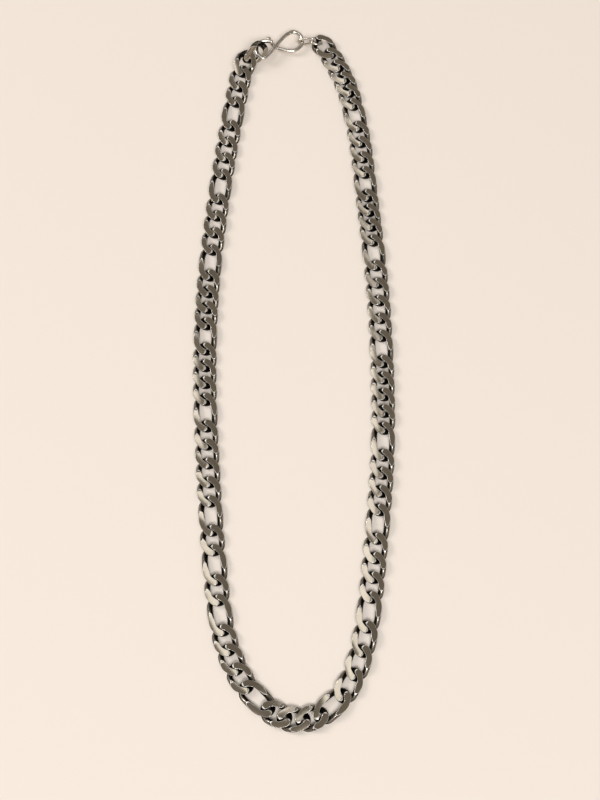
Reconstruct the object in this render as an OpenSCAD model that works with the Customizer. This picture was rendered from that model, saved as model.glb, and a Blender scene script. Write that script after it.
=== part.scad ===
// Flat curb chain in a figaro pattern, laid down as a closed loop, fastened by an S-hook.
// Units are mm. Z = 0 is the surface it lies on, +Y points from the bottom bend to the hook.

/* [Links] */
// width of a link before its ends are twisted
link_w = 7.5; // [7.4:0.1:8]
// thickness between the ground flats
chain_t = 1.9; // [1.8:0.1:2.2]
// inner length of a short link
short_in = 6.6; // [6.4:0.1:6.6]
// inner length of a long link
long_in = 9.8; // [9:0.1:9.8]
// width of the wire at the sides of a link
side_w = 1.9; // [1.8:0.05:1.9]
// width of the wire at the ends of a link
end_w = 2; // [1.7:0.05:2]
// height of the wire before grinding
wire_h = 2.1; // [1.8:0.05:2.1]
// how pointed the round ends are, 1 is a half circle
end_round = 0.92; // [0.85:0.01:1]
// twist at each end of a link, degrees
twist = 46; // [46:1:50]
// distance over which the twist is reached
twist_reach = 3.3; // [3:0.1:3.4]
// how late the twist sets in, 1 is even
twist_rise = 1.3; // [1.1:0.1:1.4]

/* [Clasp] */
// wire of the S-hook
hook_wire = 1.4; // [1:0.1:1.4]
// ball at the free tip of the hook
ball_d = 1.9; // [1.4:0.1:2.4]
// wire of the oval connector link
oval_wire = 0.8; // [0.6:0.1:0.8]
// outer length of the oval link
oval_l = 7; // [6.8:0.1:7.2]
// outer width of the oval link
oval_w = 3.4; // [3.4:0.1:3.6]
// wire of the jump ring
ring_wire = 0.8; // [0.6:0.1:0.8]
// outer diameter of the jump ring
ring_d = 5.2; // [5.1:0.1:5.6]

/* [Hidden] */
half_steps = 8;
track_steps = 12;
hook_steps = 4;
hook_sides = 10;
// radius of the flat spot at the very tip of the hook's ball
tip_r = 0.15;
ground_steel = [0.46, 0.44, 0.41];
bright_wire = [0.66, 0.65, 0.63];

// centreline of the flat run, from the hook's side round the bottom bend
track = [
    // x, y
    [-17.8, 111.6],
    [-22.3, 83.6],
    [-26.2, 53.5],
    [-28.9, 21.5],
    [-29.2, -8.6],
    [-27.0, -46.7],
    [-24.5, -73.8],
    [-21.9, -92.1],
    [-17.1, -105.1],
    [-10.2, -114.3],
    [-0.7, -119.3],
    [8.1, -118.0],
    [15.3, -112.0],
    [19.9, -102.9],
    [23.0, -90.0],
    [26.0, -65.7],
    [28.9, -33.6],
    [29.2, -3.5],
    [27.9, 26.5],
    [25.4, 53.6],
    [22.4, 82.6],
    [18.2, 101.6],
    [11.4, 116.3]
];

// runs of the flat part, each one short links, then a long one or none
runs = [
    // short links, extra length of each, long links, play of each link
    [2, 0, 1, 0.30],
    [3, 0, 1, 0.20],
    [3, 0, 1, 0.20],
    [3, 0, 1, 0.80],
    [3, 0, 1, 0.70],
    [4, 0, 1, 0.25],
    [1, 0, 1, 0.20],
    [1, 0, 1, 0.20],
    [3, 0, 1, 0.20],
    [3, 0, 1, 0.90],
    [3, 1.4, 1, 0.40],
    [3, 0, 1, 0.30],
    [3, 0, 1, 0.55],
    [4, 0, 1, 0.85],
    [4, 0, 1, 0.20],
    [3, 0, 1, 1.00],
    [3, 0, 1, 0.60],
    [4, 0, 0, 1.20]
];
// where the first of these links begins on the centreline
run_start = 4.8;
// how many of them belong to the left strand
left_links = 34;

// short links that leave the flat run beside the clasp
free_links = [
    // x, y, z, heading, roll, pitch
    [-13.8, 112.5, 3.6, 37, 68, 4],
    [-17.4, 109.2, 2.15, 70, 13, -11],
    [10.9, 116.15, 1.4, 128, 2, -5]
];

// wire of the S-hook, from the ball at its free tip to the end that is bent shut
hook_path = [
    // x, y, z
    [-9.4, 119.8, 2.5],
    [-8.5, 118.2, 2.2],
    [-7.3, 116.7, 2.0],
    [-5.5, 115.6, 1.8],
    [-3.1, 114.8, 1.8],
    [-0.4, 114.6, 1.8],
    [1.7, 115.8, 1.8],
    [2.9, 118.1, 1.8],
    [2.2, 121.0, 1.9],
    [-0.3, 122.2, 2.2],
    [-3.0, 120.3, 2.8],
    [-5.4, 117.2, 3.2],
    [-7.3, 114.5, 3.4],
    [-9.0, 112.1, 3.4],
    [-11.1, 110.6, 3.4],
    [-12.8, 112.1, 3.4],
    [-13.3, 114.8, 3.4],
    [-12.2, 116.8, 3.7],
    [-10.1, 117.3, 4.0],
    [-7.4, 116.8, 4.0]
];

// where the oval link and the jump ring lie, and how they are turned
oval_at = [4.55, 118.15, 2.35];
oval_turn = [80, -20, -4];
ring_at = [7.8, 118.65, 1.65];
ring_turn = [32, 11, 137];

// half the width and the end radius of a link's centreline
link_b = (link_w - side_w) / 2;
link_a = end_round * link_b;

// turn the pair (across, up) about the chain's axis
function turned(p, angle) = [
    p[0],
    p[1] * cos(angle) - p[2] * sin(angle),
    p[1] * sin(angle) + p[2] * cos(angle)
];

// twist at the distance x from the middle of a link, none in the straight middle of a long one
function twist_at(x, middle) =
    -sign(x) * twist * pow(min(max((abs(x) - middle) / twist_reach, 0), 1), twist_rise);

// wire section of six corners as (outwards, up), in halves of the wire's width and height
wire_section = [[1, 0], [0.5, 1], [-0.5, 1], [-1, 0], [-0.5, -1], [0.5, -1]];

// one ring of corners round the wire, for the angle t along one end of the link
function link_ring(inner, t, side) =
    let (
        half = (inner + end_w) / 2,
        middle = (inner - short_in) / 2,
        centre = [half - link_a + link_a * cos(t), link_b * sin(t)],
        out = [link_b * cos(t), link_a * sin(t)] / norm([link_b * cos(t), link_a * sin(t)]),
        wire = end_w + (side_w - end_w) * pow(out[1], 2)
    )
    [for (c = wire_section)
        let (
            p = side * (centre + out * c[0] * wire / 2),
            q = turned([p[0], p[1], c[1] * wire_h / 2], twist_at(p[0], middle))
        )
        [q[0], q[1], min(max(q[2], -chain_t / 2), chain_t / 2)]
    ];

// two triangles for each side of a closed or open row of rings with k corners each
function ring_faces(rings, k, closed) = [
    for (i = [0 : rings - (closed ? 1 : 2)], j = [0 : k - 1])
        let (
            a = i * k + j,
            b = i * k + (j + 1) % k,
            c = ((i + 1) % rings) * k + (j + 1) % k,
            d = ((i + 1) % rings) * k + j
        )
        each [[a, b, c], [a, c, d]]
];

module link(inner) {
    rings = [
        for (side = [1, -1], i = [0 : half_steps - 1])
            link_ring(inner, -90 + 180 * i / (half_steps - 1), side)
    ];
    polyhedron([for (r = rings) each r], ring_faces(len(rings), 6, true));
}

// smooth curve through a table of points, with steps even in the root of the distance
function knot(p, q) = pow(norm(q - p), 0.5);
function slope(p, q, r) = (q - p) / knot(p, q) - (r - p) / (knot(p, q) + knot(q, r)) + (r - q) / knot(q, r);
function blend(p, q, r, s, t) =
    let (m = slope(p, q, r) * knot(q, r), n = slope(q, r, s) * knot(q, r))
    (2 * t^3 - 3 * t^2 + 1) * q + (t^3 - 2 * t^2 + t) * m + (3 * t^2 - 2 * t^3) * r + (t^3 - t^2) * n;
function curve(rows, steps) =
    let (
        last = len(rows) - 1,
        ends = concat([2 * rows[0] - rows[1]], rows, [2 * rows[last] - rows[last - 1]])
    )
    concat(
        [for (i = [0 : last - 1], j = [0 : steps - 1])
            blend(ends[i], ends[i + 1], ends[i + 2], ends[i + 3], j / steps)],
        [rows[last]]
    );

// running length along a row of points
function lengths(points) = [
    for (i = 0, s = 0; i < len(points); s = s + norm(points[min(i + 1, len(points) - 1)] - points[i]), i = i + 1) s
];

track_curve = curve(track, track_steps);
track_length = lengths(track_curve);
track_x = [for (i = [0 : len(track_curve) - 1]) [track_length[i], track_curve[i][0]]];
track_y = [for (i = [0 : len(track_curve) - 1]) [track_length[i], track_curve[i][1]]];
function on_track(s) = [lookup(s, track_x), lookup(s, track_y)];

// inner length and span of each link of the flat run, then the joints between them
inners = [for (r = runs) each concat([for (i = [1 : r[0]]) short_in + r[1]], r[2] == 1 ? [long_in] : [])];
plays = [for (r = runs, i = [1 : r[0] + r[2]]) r[3]];
joints = [
    for (i = 0, s = run_start; i <= len(inners); s = s + (i < len(inners) ? inners[i] - plays[i] : 0), i = i + 1) s
];

module track_link(i) {
    from = on_track(joints[i]);
    to = on_track(joints[i + 1]);
    translate([(from[0] + to[0]) / 2, (from[1] + to[1]) / 2, chain_t / 2])
        rotate([0, 0, atan2(to[1] - from[1], to[0] - from[0])])
            link(inners[i]);
}

module free_link(row) {
    translate([row[0], row[1], row[2]])
        rotate([row[4], row[5], row[3]])
            link(short_in);
}

module chain_left() {
    color(ground_steel) {
        free_link(free_links[0]);
        free_link(free_links[1]);
        for (i = [0 : left_links - 1]) track_link(i);
    }
}

module chain_right() {
    color(ground_steel) {
        for (i = [left_links : len(inners) - 1]) track_link(i);
        free_link(free_links[2]);
    }
}

// radius of the hook's wire at the distance s from its tip, where it swells to the ball
function hook_r(s) =
    let (ball = sqrt(max(pow(ball_d / 2, 2) - pow(s - ball_d / 2, 2), pow(tip_r, 2))))
    s < ball_d / 2 ? ball : max(ball, hook_wire / 2);

module hook_clasp() {
    path = curve(hook_path, hook_steps);
    far = lengths(path);
    last = len(path) - 1;
    rings = [
        for (i = [0 : last])
            let (
                along = path[min(i + 1, last)] - path[max(i - 1, 0)],
                across = cross([0, 0, 1], along) / norm(cross([0, 0, 1], along)),
                up = cross(along, across) / norm(along)
            )
            [for (j = [0 : hook_sides - 1])
                path[i] + hook_r(far[i]) * (cos(360 * j / hook_sides) * across + sin(360 * j / hook_sides) * up)]
    ];
    corners = concat([for (r = rings) each r], [path[0], path[last]]);
    n = len(corners);
    caps = [
        for (j = [0 : hook_sides - 1])
            let (k = (j + 1) % hook_sides)
            each [[n - 2, k, j], [n - 1, last * hook_sides + j, last * hook_sides + k]]
    ];
    color(bright_wire) polyhedron(corners, concat(ring_faces(last + 1, hook_sides, false), caps));
}

module connector_link() {
    bend = (oval_w - oval_wire) / 2;
    straight = oval_l - oval_w;
    color(bright_wire)
        translate(oval_at)
            rotate(oval_turn)
                for (side = [0, 180])
                    rotate([0, 0, side]) {
                        translate([straight / 2, 0, 0])
                            rotate([0, 0, -90])
                                rotate_extrude(angle = 180, $fn = 48)
                                    translate([bend, 0])
                                        circle(d = oval_wire, $fn = 24);
                        translate([0, bend, 0])
                            rotate([0, 90, 0])
                                cylinder(d = oval_wire, h = straight, center = true, $fn = 24);
                    }
}

module jump_ring() {
    color(bright_wire)
        translate(ring_at)
            rotate(ring_turn)
                rotate_extrude($fn = 64)
                    translate([(ring_d - ring_wire) / 2, 0])
                        circle(d = ring_wire, $fn = 24);
}

chain_left();
chain_right();
hook_clasp();
connector_link();
jump_ring();
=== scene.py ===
import bmesh
import bpy
import numpy as np
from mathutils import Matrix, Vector


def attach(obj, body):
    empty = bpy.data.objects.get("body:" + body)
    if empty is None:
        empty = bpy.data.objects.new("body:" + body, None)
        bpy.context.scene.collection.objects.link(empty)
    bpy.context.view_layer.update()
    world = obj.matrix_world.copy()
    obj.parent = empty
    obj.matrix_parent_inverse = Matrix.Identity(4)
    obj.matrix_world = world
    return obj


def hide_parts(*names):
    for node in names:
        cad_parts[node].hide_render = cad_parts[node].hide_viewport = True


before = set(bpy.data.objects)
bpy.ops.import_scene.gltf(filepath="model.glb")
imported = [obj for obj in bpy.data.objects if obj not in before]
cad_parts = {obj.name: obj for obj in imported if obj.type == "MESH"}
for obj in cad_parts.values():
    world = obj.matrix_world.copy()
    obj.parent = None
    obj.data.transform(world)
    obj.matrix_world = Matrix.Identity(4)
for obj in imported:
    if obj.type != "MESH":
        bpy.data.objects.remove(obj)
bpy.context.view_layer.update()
mm = 0.001


# Shader tools: a number socket that takes part in Python expressions, and one maker of nodes
class Signal:
    def __init__(self, board, socket):
        self.board = board
        self.socket = socket

    def __add__(self, other):
        return self.board.maths("ADD", self, other)

    __radd__ = __add__

    def __sub__(self, other):
        return self.board.maths("SUBTRACT", self, other)

    def __rsub__(self, other):
        return self.board.maths("SUBTRACT", other, self)

    def __mul__(self, other):
        return self.board.maths("MULTIPLY", self, other)

    __rmul__ = __mul__


class Board:
    def __init__(self, name):
        self.material = bpy.data.materials.new(name)
        self.material.use_nodes = True
        self.tree = self.material.node_tree
        self.tree.nodes.clear()

    # settings are set before the sockets, because they can change which sockets there are
    def node(self, kind, settings=None, sockets=None, out=0):
        made = self.tree.nodes.new(kind)
        for name, value in (settings or {}).items():
            setattr(made, name, value)
        for key, value in (sockets or {}).items():
            if isinstance(value, Signal):
                self.tree.links.new(value.socket, made.inputs[key])
            else:
                made.inputs[key].default_value = value
        return Signal(self, made.outputs[out]) if len(made.outputs) else None

    def maths(self, operation, first, second=0.0):
        return self.node("ShaderNodeMath", {"operation": operation}, {0: first, 1: second})

    # 0 below low, 1 above high and a smooth step between
    def fade(self, value, low, high):
        return self.node(
            "ShaderNodeMapRange", {"interpolation_type": "SMOOTHSTEP"},
            {"Value": value, "From Min": low, "From Max": high, "To Min": 0.0, "To Max": 1.0})

    def attribute(self, name):
        return self.node("ShaderNodeAttribute", {"attribute_name": name}, out="Fac")

    # the color sockets of a Mix node are 6 and 7, and its color output is 2
    def mix(self, factor, first, second):
        return self.node(
            "ShaderNodeMix", {"data_type": "RGBA"},
            {"Factor": factor, 6: first, 7: second}, out=2)

    def bump(self, distance, height, sockets=None):
        return self.node(
            "ShaderNodeBump", {},
            {"Strength": 1.0, "Distance": distance, "Height": height, **(sockets or {})})

    def surface(self, sockets):
        shader = self.node("ShaderNodeBsdfPrincipled", {}, sockets)
        self.node("ShaderNodeOutputMaterial", {}, {"Surface": shader})
        return self.material


# a color with full opacity, as the sockets take it
def rgba(color):
    return (color[0], color[1], color[2], 1.0)


# Mesh tools
# points closer than this become one
mergeDistance = 0.001 * mm

# a point inside the loop of the chain, in mm
loopCentre = np.array([0.0, -20.0])


# one smooth mesh from points in mm and quads, with doubled points merged
# each attribute is a number at each point, and uv is the place on the wire of each quad's corners
def makePiece(name, points, faces, material, attributes, uv=None):
    mesh = bpy.data.meshes.new(name)
    mesh.from_pydata((points * mm).tolist(), [], faces.tolist())
    mesh.materials.append(material)
    mesh.polygons.foreach_set("use_smooth", np.ones(len(faces), dtype=bool))
    for label, values in attributes.items():
        layer = mesh.attributes.new(label, "FLOAT", "POINT")
        layer.data.foreach_set("value", values.astype(np.float32))
    if uv is not None:
        layer = mesh.uv_layers.new(name="wire")
        layer.data.foreach_set("uv", uv.astype(np.float32).ravel())
    mesh.validate()
    grid = bmesh.new()
    grid.from_mesh(mesh)
    bmesh.ops.remove_doubles(grid, verts=grid.verts, dist=mergeDistance)
    grid.to_mesh(mesh)
    grid.free()
    piece = bpy.data.objects.new(name, mesh)
    bpy.context.scene.collection.objects.link(piece)
    return piece


# quads between neighbouring rings of k corners, the last ring joined to the first when closed
def ringQuads(rings, k, closed=True):
    i, j = np.meshgrid(np.arange(rings if closed else rings - 1), np.arange(k), indexing="ij")
    nextRing = (i + 1) % rings
    nextCorner = (j + 1) % k
    quads = np.stack([
        i * k + j, nextRing * k + j, nextRing * k + nextCorner, i * k + nextCorner,
    ], axis=-1)
    return quads.reshape(-1, 4)


# centre and axes of a symmetric solid: its mean point and the axes of its covariance, longest first
def poseOf(points):
    centre = points.mean(axis=0)
    axes = np.linalg.eigh(np.cov((points - centre).T))[1]
    turn = axes[:, ::-1].copy()
    if np.linalg.det(turn) < 0:
        turn[:, 2] = -turn[:, 2]
    return centre, turn


# corner points of each separate solid of a CAD node in mm, by their bearing round the loop from the hook
# corners that an edge joins take the lower of their numbers, until each solid has one number
def solidsOf(nodeName):
    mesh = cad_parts[nodeName].data
    corners = np.empty(len(mesh.vertices) * 3, dtype=np.float64)
    mesh.vertices.foreach_get("co", corners)
    corners = corners.reshape(-1, 3) / mm
    spots, spotOf = np.unique(np.round(corners, decimals=3), axis=0, return_inverse=True)
    ends = np.empty(len(mesh.edges) * 2, dtype=np.int32)
    mesh.edges.foreach_get("vertices", ends)
    ends = spotOf.ravel()[ends.reshape(-1, 2)]
    label = np.arange(len(spots))
    while True:
        low = np.minimum(label[ends[:, 0]], label[ends[:, 1]])
        spread = label.copy()
        np.minimum.at(spread, ends[:, 0], low)
        np.minimum.at(spread, ends[:, 1], low)
        if (spread == label).all():
            break
        label = spread
    solids = [spots[label == mark] for mark in np.unique(label)]
    bearing = [np.arctan2(*(solid.mean(axis=0)[:2] - loopCentre)[::-1]) for solid in solids]
    order = np.argsort([(angle - np.pi / 2) % (2 * np.pi) for angle in bearing])
    return [solids[place] for place in order]


# Links of the flat chain, in mm and degrees where nothing else is said
# an arm is one side of a link: it rises at one end, over its neighbour, and sinks at the other
linkLook = {
    "linkWidth": 7.5,
    "thickness": 1.9,
    "shortInner": 6.6,       # inner length of a short link
    "sideWidth": 1.9,        # size of the wire at the sides of a link and at its ends
    "sideHeight": 2.2,
    "endWidth": 2.0,
    "endHeight": 2.1,
    "squareness": 2.3,       # 2 is a round wire, more is boxier
    "endRound": 0.92,        # length of an end's half ellipse, as a share of its half width
    "sideBow": 0.12,         # how far the middle of each side bows outwards
    "twist": 46.0,
    "twistReach": 3.3,       # distance from a short link's middle where the twist is full
    "twistRise": 1.0,        # how the twist grows where an arm rises, 1 is evenly
    "sinkRise": 1.7,         # the same where it sinks, more keeps the arm up for longer
    "twistNarrow": 0.7,      # 1 is a plain turn, less keeps the ends of the link wider
    "twistTop": 1.3,         # most that the centreline rises or sinks by
    "twistSpread": 0.7,      # share of a long link's extra middle that is twisted too
    "flatTilt": 3.0,         # most that a top flat is out of true
    "flatDome": 8.0,         # slope of the domed top flats at the link's outer edge
    "flatSaddle": 0.22,      # rise per mm across the top flats, a link's width from its middle
    "arcSteps": 26,
    "shortSteps": 6,
    "longSteps": 12,
    "longMiddle": 0.5,       # a link more than twice this longer than a short one has the long steps
    "fineAngles": 720,       # places round the wire where a cut is looked for
    "flatCuts": 7,
    "wallCuts": 9,
    "leastCut": 0.12,        # half the least angle of wire between a flat's edges, in radians
    "leastWall": 0.25,       # least angle of wire between two flats, in radians
    "rimReach": 1.0,         # distances from a flat's edge count up to this
    "seed": 12,
}


# centreline of a link as a flat oval: half an ellipse at each end and sides between, bowed by a parabola
# gives the line, its outward directions, the length along it and half of its extra length over a short link
def ovalLine(look, inner):
    b = (look["linkWidth"] - look["sideWidth"]) / 2
    a = look["endRound"] * b
    straight = (inner + look["endWidth"]) / 2 - a
    middle = (inner - look["shortInner"]) / 2
    steps = look["longSteps"] if middle > look["longMiddle"] else look["shortSteps"]
    t = np.linspace(-np.pi / 2, np.pi / 2, look["arcSteps"] + 1)
    x = np.concatenate([straight + a * np.cos(t), np.linspace(straight, -straight, steps + 1)[1:-1]])
    y = np.concatenate([b * np.sin(t), np.full(steps - 1, b)])
    outX = np.concatenate([b * np.cos(t), np.zeros(steps - 1)])
    outY = np.concatenate([a * np.sin(t), np.full(steps - 1, a)])
    size = np.hypot(outX, outY)
    y = y + np.sign(y) * look["sideBow"] * (1 - (x / (straight + a)) ** 2)
    line = np.stack([np.concatenate([x, -x]), np.concatenate([y, -y])], axis=1)
    out = np.stack([np.concatenate([outX, -outX]), np.concatenate([outY, -outY])], axis=1)
    out /= np.concatenate([size, size])[:, None]
    stretch = np.linalg.norm(np.roll(line, -1, axis=0) - line, axis=1)
    along = np.concatenate([[0.0], np.cumsum(stretch)])
    return line, out, along, middle


# the twisted wire before grinding: a superellipse round the centreline, turned about the link's long axis by
# an angle that grows with the distance from its middle, and later on an arm that sinks than on one that rises
# a hyperbolic tangent holds the height of the centreline in, and angle is an array of places round the wire
def twistedWire(look, line, out, middle, angle):
    power = 2 / look["squareness"]
    width = look["endWidth"] + (look["sideWidth"] - look["endWidth"]) * out[:, 1:2] ** 2
    height = look["endHeight"] + (look["sideHeight"] - look["endHeight"]) * out[:, 1:2] ** 2
    across = np.sign(np.cos(angle)) * np.abs(np.cos(angle)) ** power * width / 2
    up = np.sign(np.sin(angle)) * np.abs(np.sin(angle)) ** power * height / 2
    away = np.abs(line[:, 0:1]) - middle + middle * look["twistSpread"]
    sinks = line[:, 0:1] * line[:, 1:2] > 0
    rise = np.where(sinks, look["sinkRise"], look["twistRise"])
    reach = np.clip(away / (look["twistReach"] + middle * look["twistSpread"]), 0, 1) ** rise
    turn = -np.sign(line[:, 0:1]) * np.radians(look["twist"]) * reach
    x = line[:, 0:1] + out[:, 0:1] * across
    y = line[:, 1:2] * np.cos(turn) ** look["twistNarrow"] + out[:, 1:2] * across * np.cos(turn)
    z = look["twistTop"] * np.tanh(line[:, 1:2] * np.sin(turn) / look["twistTop"])
    return x, y - up * np.sin(turn), z + out[:, 1:2] * across * np.sin(turn) + up * np.cos(turn)


# where a ground surface cuts the wire: the angles on both sides of its highest point where it sinks below
# the surface, and whether it is cut at all; height is the wire's height above the surface at the fine angles
# each is looked for nine tenths of the way round, and refined by a straight line between two fine angles
def cutAngles(height, fine, least):
    count = len(fine)
    step = 2 * np.pi / count
    peak = np.argmax(height, axis=1)
    cut = height.max(axis=1) > 0
    reach = np.arange(count * 9 // 10)
    leastDrop = 1e-9
    edges = []
    for way in (-1, 1):
        rolled = np.take_along_axis(height, (peak[:, None] + way * reach) % count, axis=1)
        first = np.argmax(rolled < 0, axis=1)
        before = np.maximum(first - 1, 0)
        high = np.take_along_axis(rolled, before[:, None], axis=1)[:, 0]
        low = np.take_along_axis(rolled, first[:, None], axis=1)[:, 0]
        part = np.where(first > 0, high / np.maximum(high - low, leastDrop), 0.0)
        edges.append(fine[peak] + way * np.maximum((before + part) * step, least))
    return edges[0], edges[1], cut


# one ground link in its own axes, with its attributes and the length along it
# the top flats lie on a surface that is tilted, domed and saddled, and the bottom ones on a plane; each runs
# straight from one cut edge of the wire to the other, and the walls between them follow the wire
# ground is 1 on a flat, a half at its edges and 0 elsewhere, outer is 1 on the outer side of the wire and -1
# on the inner one, side is 1 along the arms and 0 at the round ends, and rim is how far a flat's edge is
def groundLink(look, inner, tilt):
    line, out, along, middle = ovalLine(look, inner)
    half = look["thickness"] / 2
    dome = np.tan(np.radians(look["flatDome"])) / look["linkWidth"]
    domeTop = (look["linkWidth"] / 4) ** 2
    saddle = look["flatSaddle"] / look["linkWidth"]

    # height of the top surface: half the thickness, a tilt, a dome in y squared and a saddle in x times y
    def topOf(x, y):
        return half + np.tan(tilt) * y - dome * (y ** 2 - domeTop) + saddle * x * y

    fine = np.linspace(0, 2 * np.pi, look["fineAngles"], endpoint=False)
    x, y, z = twistedWire(look, line, out, middle, fine[None, :])
    topLow, topHigh, topCut = cutAngles(z - topOf(x, y), fine, look["leastCut"])
    lowLow, lowHigh, lowCut = cutAngles(-z - half, fine, look["leastCut"])
    lowLow, lowHigh = [edge + 2 * np.pi * np.round((topLow + np.pi - edge) / (2 * np.pi))
                       for edge in (lowLow, lowHigh)]
    lowLow = np.maximum(lowLow, topHigh + look["leastWall"])
    lowHigh = np.minimum(lowHigh, topLow + 2 * np.pi - look["leastWall"])

    # corners crowd towards both ends of each stretch between two cut edges
    flat, wall = look["flatCuts"], look["wallCuts"]
    flatStep = 0.5 - 0.5 * np.cos(np.pi * np.arange(flat) / flat)
    wallStep = 0.5 - 0.5 * np.cos(np.pi * np.arange(wall) / wall)
    angle = np.concatenate([
        topLow[:, None] + (topHigh - topLow)[:, None] * flatStep,
        topHigh[:, None] + (lowLow - topHigh)[:, None] * wallStep,
        lowLow[:, None] + (lowHigh - lowLow)[:, None] * flatStep,
        lowHigh[:, None] + (topLow + 2 * np.pi - lowHigh)[:, None] * wallStep,
    ], axis=1)
    points = np.stack(twistedWire(look, line, out, middle, angle), axis=-1)
    ground = np.zeros(angle.shape)
    for first, cut in ((0, topCut), (flat + wall, lowCut)):
        start, end = points[:, first, None], points[:, first + flat, None]
        points[:, first:first + flat] = start + (end - start) * flatStep[None, :, None]
        ground[:, first] = ground[:, first + flat] = 0.5 * cut
        ground[:, first + 1:first + flat] = cut[:, None]
    points[topCut, :flat, 2] = topOf(points[topCut, :flat, 0], points[topCut, :flat, 1])
    points[..., 2] = np.clip(points[..., 2], -half, topOf(points[..., 0], points[..., 1]))

    # distance round the section from the nearest edge of a flat
    stretch = np.linalg.norm(np.roll(points, -1, axis=1) - points, axis=2)
    travel = np.concatenate([np.zeros((len(points), 1)), np.cumsum(stretch, axis=1)], axis=1)
    edges = travel[:, [0, flat, flat + wall, 2 * flat + wall, -1]]
    isCut = np.stack([topCut, topCut, lowCut, lowCut, topCut], axis=1)
    gap = np.minimum(np.abs(travel[:, :-1, None] - edges[:, None]), look["rimReach"])
    rim = np.where(isCut[:, None], gap, look["rimReach"]).min(axis=2)
    outer = np.cos(angle)
    side = np.repeat(out[:, 1:2] ** 2, angle.shape[1], axis=1)
    return points, {"ground": ground, "outer": outer, "side": side, "rim": rim}, along


# place on the wire of each quad's corners: the length along the link and the share of the way round
# the closing quads end at the full length or the full share, where the first ones start at 0
def wirePlaces(faces, k, along):
    ring, corner = faces // k, faces % k
    number = np.arange(len(faces))[:, None]
    lastRing = number // k == len(along) - 2
    lastCorner = number % k == k - 1
    u = np.where((ring == 0) & lastRing, along[-1], along[ring])
    v = np.where((corner == 0) & lastCorner, 1.0, corner / k)
    return np.stack([u, v], axis=-1).reshape(-1, 2)


# all links of one strand as a single piece, none below the surface that it lies on
# each link takes its place, its axes and its length from the solid that it stands for
def makeStrand(name, nodeName, material, look, seed):
    rng = np.random.default_rng(seed)
    marks = ("ground", "outer", "side", "rim", "tone")
    parts = {key: [] for key in ("points", "faces", "uv") + marks}
    count = 0
    for solid in solidsOf(nodeName):
        centre, turn = poseOf(solid)
        if turn[2, 2] < 0:
            turn = turn * np.array([1, -1, -1])
        length = np.ptp((solid - centre) @ turn[:, 0])
        inner = round(float(length - 2 * look["endWidth"]), 1)
        tilt = np.radians(look["flatTilt"]) * rng.uniform(-1, 1)
        points, masks, along = groundLink(look, inner, tilt)
        rings, k = masks["ground"].shape
        faces = ringQuads(rings, k)
        placed = points.reshape(-1, 3) @ turn.T + centre
        placed[:, 2] = np.maximum(placed[:, 2], 0.0)
        parts["points"].append(placed)
        parts["faces"].append(faces + count)
        parts["uv"].append(wirePlaces(faces, k, along))
        for key, values in masks.items():
            parts[key].append(values.ravel())
        parts["tone"].append(np.full(rings * k, rng.uniform()))
        count += rings * k
    joined = {key: np.concatenate(value) for key, value in parts.items()}
    piece = makePiece(
        name, joined["points"], joined["faces"], material,
        {key: joined[key] for key in marks}, joined["uv"])
    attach(piece, "root")
    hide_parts(nodeName)
    print(name, len(joined["faces"]) * 2, "triangles")


# Wire pieces
# smooth curve through the points: Hermite cubics whose slopes come from knots at the root of each distance
def smoothPath(points, steps):
    rows = np.asarray(points, dtype=float)
    rows = np.vstack([2 * rows[0] - rows[1], rows, 2 * rows[-1] - rows[-2]])
    gap = np.sqrt(np.linalg.norm(np.diff(rows, axis=0), axis=1))[:, None]
    step = np.diff(rows, axis=0) / gap
    slope = step[:-1] + step[1:] - (rows[2:] - rows[:-2]) / (gap[:-1] + gap[1:])
    t = (np.arange(steps) / steps)[None, :, None]
    start, end = rows[1:-2, None], rows[2:-1, None]
    leave = (slope[:-1] * gap[1:-1])[:, None]
    arrive = (slope[1:] * gap[1:-1])[:, None]
    curve = ((2 * t**3 - 3 * t**2 + 1) * start + (t**3 - 2 * t**2 + t) * leave
             + (3 * t**2 - 2 * t**3) * end + (t**3 - t**2) * arrive)
    return np.vstack([curve.reshape(-1, 3), rows[-2]])


# round wire along a line: circles square to the path, whose radius may change along it
def sweptWire(line, radius, sides, closed):
    upwards = np.array([0.0, 0.0, 1.0])
    ahead = np.roll(line, -1, axis=0) - np.roll(line, 1, axis=0)
    if not closed:
        ahead[0] = line[1] - line[0]
        ahead[-1] = line[-1] - line[-2]
    ahead /= np.linalg.norm(ahead, axis=1)[:, None]
    across = np.cross(np.broadcast_to(upwards, ahead.shape), ahead)
    across /= np.linalg.norm(across, axis=1)[:, None]
    up = np.cross(ahead, across)
    turn = np.linspace(0, 2 * np.pi, sides, endpoint=False)[None, :, None]
    ring = across[:, None] * np.cos(turn) + up[:, None] * np.sin(turn)
    return line[:, None] + np.broadcast_to(radius, (len(line),))[:, None, None] * ring


# a wire as a piece; its circles run the other way round than a link's rings, so its quads are turned over
def finishWire(name, nodeName, material, points, sides, closed):
    faces = ringQuads(len(points) // sides, sides, closed)[:, ::-1]
    piece = makePiece(name, points, faces, material, {})
    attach(piece, "root")
    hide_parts(nodeName)
    print(name, len(faces) * 2, "triangles")


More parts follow.
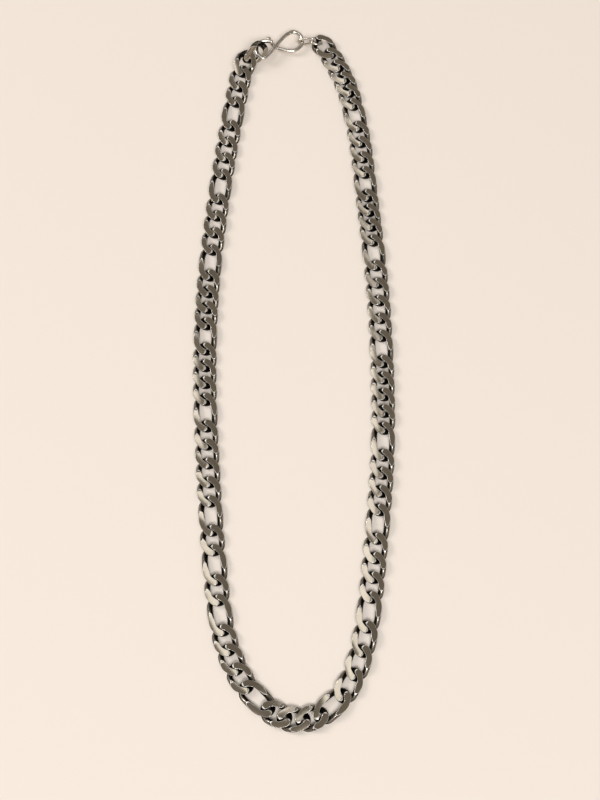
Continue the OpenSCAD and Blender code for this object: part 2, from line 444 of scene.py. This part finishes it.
# S-hook wire, its centreline from the free tip to the end that is bent shut, in mm
hookLook = {
    "wire": 1.4,
    "ball": 1.9,
    "capLength": 0.5,        # rounded stretch of the far end
    "sides": 28,
    "ballRings": 10,
    "capRings": 8,
    "stepsPerPoint": 12,
    "path": [
        (-9.4, 119.8, 2.5), (-8.5, 118.2, 2.2), (-7.3, 116.7, 2.0), (-5.5, 115.6, 1.8),
        (-3.1, 114.8, 1.8), (-0.4, 114.6, 1.8), (1.7, 115.8, 1.8), (2.9, 118.1, 1.8),
        (2.2, 121.0, 1.9), (-0.3, 122.2, 2.2), (-3.0, 120.3, 2.8), (-5.4, 117.2, 3.2),
        (-7.3, 114.5, 3.4), (-9.0, 112.1, 3.4), (-11.1, 110.6, 3.4), (-12.8, 112.1, 3.4),
        (-13.3, 114.8, 3.4), (-12.2, 116.8, 3.7), (-10.1, 117.3, 4.0), (-7.4, 116.8, 4.0),
    ],
}


# the S-hook: a wire with a ball at its tip and a rounded far end
# its radius follows a circle over the ball and an ellipse over the far end, and is nothing at both tips
def makeHook(material, look):
    line = smoothPath(look["path"], look["stepsPerPoint"])
    away = np.concatenate([[0], np.cumsum(np.linalg.norm(np.diff(line, axis=0), axis=1))])
    wire = look["wire"] / 2
    ball = look["ball"] / 2
    tip = np.sin(np.linspace(0, np.pi / 2, look["ballRings"])) ** 2 * ball
    spread = np.concatenate([tip[:-1], away[away > ball]])
    capStart = spread[-1] - look["capLength"]
    cap = capStart + look["capLength"] * np.sin(np.linspace(0, np.pi / 2, look["capRings"]))
    spread = np.concatenate([spread[spread < capStart], cap])
    line = np.stack([np.interp(spread, away, line[:, axis]) for axis in range(3)], axis=1)
    radius = np.sqrt(np.maximum(ball**2 - (spread - ball) ** 2, 0))
    radius = np.where(spread < ball, radius, np.maximum(radius, wire))
    radius *= np.sqrt(1 - np.clip((spread - capStart) / look["capLength"], 0, 1) ** 2)
    rings = sweptWire(line, radius, look["sides"], False)
    finishWire("sHook", "hook_clasp", material, rings.reshape(-1, 3), look["sides"], False)


# oval link, outer sizes in mm
ovalLook = {
    "wire": 0.8,
    "length": 7.0,
    "width": 3.4,
    "sides": 24,
    "turnSteps": 96,
    "sideSlope": 6,          # more draws the sides between its round ends in fewer steps
}

# jump ring, which is as long as it is wide
ringLook = {
    "wire": 0.8,
    "length": 5.2,
    "width": 5.2,
    "sides": 24,
    "turnSteps": 96,
    "sideSlope": 6,
}


# a closed wire in the axes of the solid that it stands for: a circle whose two halves are moved apart
def makeRing(name, nodeName, material, look):
    centre, turn = poseOf(np.vstack(solidsOf(nodeName)))
    bend = (look["width"] - look["wire"]) / 2
    straight = (look["length"] - look["width"]) / 2
    angle = np.linspace(0, 2 * np.pi, look["turnSteps"], endpoint=False)
    line = np.stack([
        bend * np.cos(angle) + straight * np.clip(np.cos(angle) * look["sideSlope"], -1, 1),
        bend * np.sin(angle),
        np.zeros_like(angle),
    ], axis=1)
    rings = sweptWire(line, look["wire"] / 2, look["sides"], True)
    points = rings.reshape(-1, 3) @ turn.T + centre
    finishWire(name, nodeName, material, points, look["sides"], True)


# Materials
# depths are in m and scales per m; a mask is where its smooth step starts and where it is full
steelLook = {
    "flatColor": (0.43, 0.375, 0.300),
    "wallColor": (0.42, 0.38, 0.32),
    # near black: painted shade in the recesses, in the grooves of the notches and in the line beside each
    # bevel, and the dark end of the random tone
    "paintedShadeAndToneColor": (0.006, 0.005, 0.004),
    # painted highlight on the bevels round the flats
    "bevelHighlightColor": (0.90, 0.87, 0.81),
    "flatRoughness": 0.14,
    "wallRoughness": 0.20,
    "recessRoughness": 0.15,       # added to the roughness, as the next two are
    "scratchRoughness": 0.05,
    "cloudRoughness": 0.04,
    "recessShadeStrength": 0.96,
    "innerMask": (-0.15, 0.25),    # 1 on the outer side of the wire, -1 on the inner one
    "endMask": (0.35, 0.85),       # 1 along the arms, 0 at the round ends of a link
    "notchPitch": 0.42,            # mm between the milled notches of the outer walls
    "notchDepth": 0.00008,
    # painted shade in the grooves of the notches
    "notchShadeStrength": 0.92,
    "notchMask": (-0.4, 0.4),
    "notchedSideMask": (0.1, 0.4),
    "notchedArmMask": (0.2, 0.5),
    "bevelHighlightMask": (0.07, 0.22),     # mm from a flat's edge
    "bevelHighlightStrength": 0.9,
    "bevelHighlightDull": 0.5,              # how much less metallic the bevel is where its highlight is painted
    "shadeLineMask": (0.16, 0.28),      # mm from a flat's edge to where the painted shade line starts
    "shadeLineEndMask": (0.55, 0.95),
    "shadeLineStrength": 0.9,
    "scratchScale": (9000.0, 1500.0, 3000.0),
    "scratchDepth": 0.0000003,
    "cloudScale": 420.0,
    "cloudMask": (0.35, 0.75),
    "cloudShade": 0.08,
    "linkShade": 0.10,             # most that one link is darker than another
}


# ground steel: scratched flats, painted highlights on the bevels round them with a painted shade line beside,
# milled notches on the outer walls with painted shade in their grooves, and painted shade near black in the
# recesses, each laid over the color before by its own mask
def makeGroundSteel(look):
    board = Board("groundSteel")
    ground = board.attribute("ground")
    outer = board.attribute("outer")
    side = board.attribute("side")
    rim = board.attribute("rim")
    tone = board.attribute("tone")
    place = board.node("ShaderNodeTexCoord", out="Object")
    wire = board.node("ShaderNodeUVMap", {"uv_map": "wire"})
    along = board.node("ShaderNodeSeparateXYZ", {}, {0: wire}, out="X")

    brushed = board.node("ShaderNodeMapping", {}, {"Vector": place, "Scale": look["scratchScale"]})
    scratch = board.node("ShaderNodeTexNoise", {}, {"Vector": brushed, "Scale": 1.0, "Detail": 3.0})
    cloud = board.node(
        "ShaderNodeTexNoise", {}, {"Vector": place, "Scale": look["cloudScale"], "Detail": 4.0})

    # notches: a wave along the wire, only on the outer side of the arms and off the ground flats; it dents
    # the wall and paints shade into the grooves
    wave = board.maths("SINE", along * (2 * np.pi / look["notchPitch"]))
    onSide = board.fade(outer, *look["notchedSideMask"])
    onArm = board.fade(side, *look["notchedArmMask"])
    notch = board.fade(wave, *look["notchMask"]) * (onSide * onArm * (1 - ground))

    # recesses, where shade is painted near black: the inner side of the wire and the round ends, away from
    # the flats
    inner = board.fade(0 - outer, *look["innerMask"])
    ends = 1 - board.fade(side, *look["endMask"])
    recess = board.maths("MAXIMUM", inner, ends) * (1 - ground)

    # painted highlight on the bevel: beside a flat's edge, a third as wide on the flat as on the wall, and
    # where a flat runs out the painted shade line is outside it
    bevel = 1 - board.fade(rim * (1 + ground * 2), *look["bevelHighlightMask"])
    bevel = board.maths("MAXIMUM", bevel, ground * (1 - ground) * 4)
    # painted shade: a dark line on the wall just beyond the bevel highlight
    lineEnd = 1 - board.fade(rim, *look["shadeLineEndMask"])
    line = board.fade(rim, *look["shadeLineMask"]) * lineEnd * (1 - ground)

    # the near black of all painted shade, also the dark end of the random tone
    dark = rgba(look["paintedShadeAndToneColor"])
    shade = board.fade(cloud, *look["cloudMask"]) * look["cloudShade"] + tone * look["linkShade"]
    color = board.mix(ground, rgba(look["wallColor"]), rgba(look["flatColor"]))
    # painted shade near black in the recesses
    color = board.mix(recess * look["recessShadeStrength"], color, dark)
    # painted shade in the grooves of the notches
    color = board.mix(notch * look["notchShadeStrength"], color, dark)
    color = board.mix(shade, color, dark)
    # painted shade line beside the bevels
    color = board.mix(line * look["shadeLineStrength"], color, dark)
    # painted highlight on the bevels
    color = board.mix(bevel * look["bevelHighlightStrength"], color, rgba(look["bevelHighlightColor"]))

    rough = look["wallRoughness"] + ground * (look["flatRoughness"] - look["wallRoughness"])
    rough = rough + recess * look["recessRoughness"]
    rough = rough + (scratch - 0.5) * look["scratchRoughness"] + (cloud - 0.5) * look["cloudRoughness"]
    fine = board.bump(look["scratchDepth"], scratch)
    normal = board.bump(look["notchDepth"], 0 - notch, {"Normal": fine})
    # the painted bevel highlight is made less metallic, so that its pale color shows
    metal = 1 - bevel * look["bevelHighlightDull"]
    return board.surface({"Base Color": color, "Metallic": metal, "Roughness": rough, "Normal": normal})


# drawn wire, with the scale per m and the depth in m
wireLook = {
    "color": (0.76, 0.715, 0.655),
    "roughness": 0.19,
    "cloudRoughness": 0.12,
    "cloudScale": 700.0,
    "cloudMask": (0.4, 0.7),
    "cloudShade": 0.8,             # color of the handled places, as a share of the bright one
    "markDepth": 0.00001,
}


# bright wire: smooth drawn steel, where one noise gives faint marks in its color, roughness and relief
def makeBrightWire(look):
    board = Board("brightWire")
    place = board.node("ShaderNodeTexCoord", out="Object")
    cloud = board.node(
        "ShaderNodeTexNoise", {}, {"Vector": place, "Scale": look["cloudScale"], "Detail": 4.0})
    handled = rgba([look["cloudShade"] * part for part in look["color"]])
    color = board.mix(board.fade(cloud, *look["cloudMask"]), rgba(look["color"]), handled)
    rough = look["roughness"] + (cloud - 0.5) * look["cloudRoughness"]
    normal = board.bump(look["markDepth"], cloud)
    return board.surface({"Base Color": color, "Metallic": 1.0, "Roughness": rough, "Normal": normal})


# Studio
# camera of the photo: pinhole focal length and image height in pixels, aim, distance and sensor in mm
cameraLook = {
    "aim": (2.1, -16.1, 0.0),
    "distance": 474.9,
    "elevation": 71.0,
    "focalPixels": 1450.0,
    "imageHeight": 800.0,
    "sensorHeight": 36.0,
    "clipStart": 10.0,
}


# the camera looks down at its aim from the front
# its lens is the focal length as a share of the image height, times the sensor height
def makeCamera(look):
    data = bpy.data.cameras.new("camera")
    data.sensor_fit = "VERTICAL"
    data.sensor_height = look["sensorHeight"]
    data.lens = look["focalPixels"] / look["imageHeight"] * look["sensorHeight"]
    data.clip_start = look["clipStart"] * mm
    camera = bpy.data.objects.new("camera", data)
    rise = np.radians(look["elevation"])
    aim = Vector(look["aim"]) * mm
    back = Vector((0.0, -np.cos(rise), np.sin(rise))) * look["distance"] * mm
    camera.location = aim + back
    camera.rotation_euler = back.to_track_quat("Z", "Y").to_euler()
    bpy.context.scene.collection.objects.link(camera)
    bpy.context.scene.camera = camera


# the floor lies a hair below the chain, and the left lights are where its flats mirror them to the camera
studioLook = {
    "floorColor": (0.86, 0.784, 0.715),
    "floorRoughness": 0.85,
    "floorShine": 0.2,
    "floorSize": 8.0,
    "floorHeight": -0.00003,
    "worldColor": (0.29, 0.265, 0.235),
    "lights": {
        # place in m, size in m, power in W, color
        "keyLight": ((-1.75, 0.60, 1.35), (0.9, 0.9), 20.0, (1.0, 0.97, 0.93)),
        "frontLight": ((0.20, -1.20, 1.75), (1.3, 0.8), 28.0, (1.0, 0.99, 0.98)),
        "leftLow": ((-0.246, 0.97, 1.46), (0.21, 0.67), 0.85, (0.95, 0.97, 1.0)),
        "leftMiddle": ((-0.246, 0.54, 1.66), (0.21, 0.31), 0.21, (0.95, 0.97, 1.0)),
        "leftHigh": ((-0.41, 0.09, 1.75), (0.50, 0.61), 1.8, (0.95, 0.97, 1.0)),
    },
}


# an area light that faces the chain
def makeAreaLight(name, place, size, power, color):
    data = bpy.data.lights.new(name, "AREA")
    data.shape = "RECTANGLE"
    data.size, data.size_y = size
    data.energy = power
    data.color = color
    lamp = bpy.data.objects.new(name, data)
    lamp.location = place
    lamp.rotation_euler = Vector(place).to_track_quat("Z", "Y").to_euler()
    bpy.context.scene.collection.objects.link(lamp)


# one pale square for a floor
def makeFloor(look):
    half = look["floorSize"] / 2
    low = look["floorHeight"]
    corners = [(-half, -half, low), (half, -half, low), (half, half, low), (-half, half, low)]
    mesh = bpy.data.meshes.new("floor")
    mesh.from_pydata(corners, [], [(0, 1, 2, 3)])
    mesh.materials.append(Board("palePaper").surface({
        "Base Color": rgba(look["floorColor"]),
        "Roughness": look["floorRoughness"],
        "Specular IOR Level": look["floorShine"],
    }))
    floor = bpy.data.objects.new("floor", mesh)
    bpy.context.scene.collection.objects.link(floor)


# floor, an even world and the lights
def makeStudio(look):
    makeFloor(look)
    world = bpy.data.worlds.new("studio")
    world.use_nodes = True
    background = world.node_tree.nodes["Background"]
    background.inputs["Color"].default_value = rgba(look["worldColor"])
    bpy.context.scene.world = world
    for name, facts in look["lights"].items():
        makeAreaLight(name, *facts)
    bpy.context.scene.view_settings.view_transform = "Standard"


print("camera")
makeCamera(cameraLook)
print("chain")
groundSteel = makeGroundSteel(steelLook)
makeStrand("leftStrand", "chain_left", groundSteel, linkLook, linkLook["seed"])
makeStrand("rightStrand", "chain_right", groundSteel, linkLook, linkLook["seed"] + 1)
print("clasp")
brightWire = makeBrightWire(wireLook)
makeHook(brightWire, hookLook)
makeRing("ovalLink", "connector_link", brightWire, ovalLook)
makeRing("jumpRing", "jump_ring", brightWire, ringLook)
print("studio")
makeStudio(studioLook)
